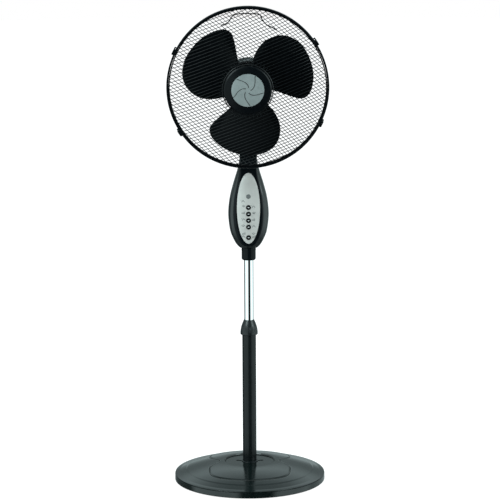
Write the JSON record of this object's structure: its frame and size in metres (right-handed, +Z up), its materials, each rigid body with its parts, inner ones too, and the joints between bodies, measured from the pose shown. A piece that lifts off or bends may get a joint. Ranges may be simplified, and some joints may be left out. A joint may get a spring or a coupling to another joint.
{
  "type": "pedestal fan",
  "caption": "Pedestal fan with a weighted round base, a telescopic pole, an oval control box and a tilting, oscillating head whose bladed rotor spins inside a round wire cage.",
  "frame": {"origin": "centre of the footprint, on the floor", "axes": "+Z up; the fan faces and blows towards -Y; +X to the right seen from the front"},
  "size_m": [0.432, 0.415, 1.322],
  "materials": {
    "base_black": "satin gloss moulded plastic",
    "black_enamel": "satin black enamel",
    "satin_black": "fine satin moulded plastic",
    "gloss_black": "high gloss",
    "blade_black": "semi gloss moulded plastic",
    "chrome": "mirror polished plating",
    "silver_panel": "satin silver paint",
    "steel": "zinc plated, satin",
    "iron": "rough cast",
    "aluminium": "die cast, matt",
    "copper": "lacquered copper wire",
    "rubber": "matt",
    "board": "solder mask, satin",
    "white_plastic": "satin",
    "lens": "smoked, glossy"
  },
  "bodies": {
    "base": {"base_cover": "base_black", "base_pan": "black_enamel", "base_ballast": "iron", "foot_pad_1": "rubber", "foot_pad_2": "rubber", "foot_pad_3": "rubber", "foot_pad_4": "rubber", "pole_flange": "steel", "base_bolt": "steel", "outer_pole": "black_enamel", "pole_sleeve": "satin_black", "clamp_collet": "white_plastic"},
    "lock_collar": {"height_lock_nut": "satin_black"},
    "column": {"inner_pole": "chrome", "inner_pole_stop": "satin_black", "column_socket": "satin_black", "socket_screw": "steel", "box_rear_shell": "gloss_black", "box_front_bezel": "gloss_black", "shell_screw_1": "steel", "shell_screw_2": "steel", "control_panel": "silver_panel", "circuit_board": "board", "receiver_window": "lens", "motor_capacitor": "white_plastic", "cord_inlet": "rubber", "neck_yoke": "satin_black", "tilt_nut": "steel"},
    "tilter": {"tilt_bracket": "black_enamel"},
    "tilt_grip": {"tilt_knob": "satin_black"},
    "head": {"motor_mount": "aluminium", "motor_stator": "steel", "motor_winding": "copper", "motor_rear_bell": "aluminium", "front_bearing": "steel", "rear_bearing": "steel", "rear_motor_cover": "satin_black", "cover_screw": "steel", "swing_motor": "steel", "rear_grille": "black_enamel", "rear_grille_nut": "satin_black", "front_grille": "black_enamel", "grille_ring": "satin_black", "badge_plate": "satin_black", "badge_inlay": "silver_panel"},
    "rotor": {"motor_shaft": "steel", "rotor_core": "iron", "fan_blade": "blade_black", "spinner_nut": "satin_black"},
    "crank": {"swing_crank": "steel"},
    "link": {"swing_link": "steel"},
    "power_key": {"power_button": "gloss_black"},
    "swing_key": {"swing_button": "gloss_black"},
    "mode_key": {"mode_button": "gloss_black"},
    "speed_key": {"speed_button": "gloss_black"},
    "timer_key": {"timer_button": "gloss_black"},
    "clip_1": {"grille_clip_1": "satin_black"},
    "clip_2": {"grille_clip_2": "satin_black"},
    "clip_3": {"grille_clip_3": "satin_black"},
    "clip_4": {"grille_clip_4": "satin_black"}
  },
  "joints": [
    {"name": "height_slide", "type": "slide", "parent": "base", "child": "column", "axis": [0, 0, 1], "range_m": [-0.165, 0.03]},
    {"name": "lock_collar_turn", "type": "hinge", "parent": "base", "child": "lock_collar", "pos_m": [0, 0, 0.434], "axis": [0, 0, 1], "range_deg": [0, 180]},
    {"name": "head_tilt", "type": "hinge", "parent": "column", "child": "tilter", "pos_m": [0, 0, 1.012], "axis": [1, 0, 0], "range_deg": [-20, 10]},
    {"name": "tilt_knob_turn", "type": "hinge", "parent": "column", "child": "tilt_grip", "pos_m": [0, 0, 1.012], "axis": [1, 0, 0], "range_deg": [0, 270]},
    {"name": "head_swing", "type": "hinge", "parent": "tilter", "child": "head", "pos_m": [0, 0, 1.04], "axis": [0, 0, 1], "range_deg": [-40, 40]},
    {"name": "fan_spin", "type": "hinge", "parent": "head", "child": "rotor", "pos_m": [0, -0.113, 1.106], "axis": [0, 1, 0], "continuous": true},
    {"name": "crank_turn", "type": "hinge", "parent": "head", "child": "crank", "pos_m": [0.007, 0.058, 1.038], "axis": [0, 0, 1], "continuous": true},
    {"name": "link_pivot", "type": "hinge", "parent": "crank", "child": "link", "pos_m": [0.02, 0.058, 1.034], "axis": [0, 0, 1], "continuous": true},
    {"name": "power_press", "type": "slide", "parent": "column", "child": "power_key", "axis": [0, 1, 0], "range_m": [0, 0.0015], "stiffness_N_per_m": 300},
    {"name": "swing_press", "type": "slide", "parent": "column", "child": "swing_key", "axis": [0, 1, 0], "range_m": [0, 0.0015], "stiffness_N_per_m": 300},
    {"name": "mode_press", "type": "slide", "parent": "column", "child": "mode_key", "axis": [0, 1, 0], "range_m": [0, 0.0015], "stiffness_N_per_m": 300},
    {"name": "speed_press", "type": "slide", "parent": "column", "child": "speed_key", "axis": [0, 1, 0], "range_m": [0, 0.0015], "stiffness_N_per_m": 300},
    {"name": "timer_press", "type": "slide", "parent": "column", "child": "timer_key", "axis": [0, 1, 0], "range_m": [0, 0.0015], "stiffness_N_per_m": 300},
    {"name": "clip_1_open", "type": "hinge", "parent": "head", "child": "clip_1", "pos_m": [0.18262, -0.1042, 1.22687], "axis": [-0.5519, 0, 0.8339], "range_deg": [0, 70]},
    {"name": "clip_2_open", "type": "hinge", "parent": "head", "child": "clip_2", "pos_m": [-0.19599, -0.1042, 1.20372], "axis": [-0.4462, 0, -0.8949], "range_deg": [0, 70]},
    {"name": "clip_3_open", "type": "hinge", "parent": "head", "child": "clip_3", "pos_m": [-0.18262, -0.1042, 0.98513], "axis": [0.5519, 0, -0.8339], "range_deg": [0, 70]},
    {"name": "clip_4_open", "type": "hinge", "parent": "head", "child": "clip_4", "pos_m": [0.19599, -0.1042, 1.00828], "axis": [0.4462, 0, 0.8949], "range_deg": [0, 70]}
  ],
  "couplings": [
    {"joint": "link_pivot", "follows": "crank_turn", "ratio": -1}
  ]
}
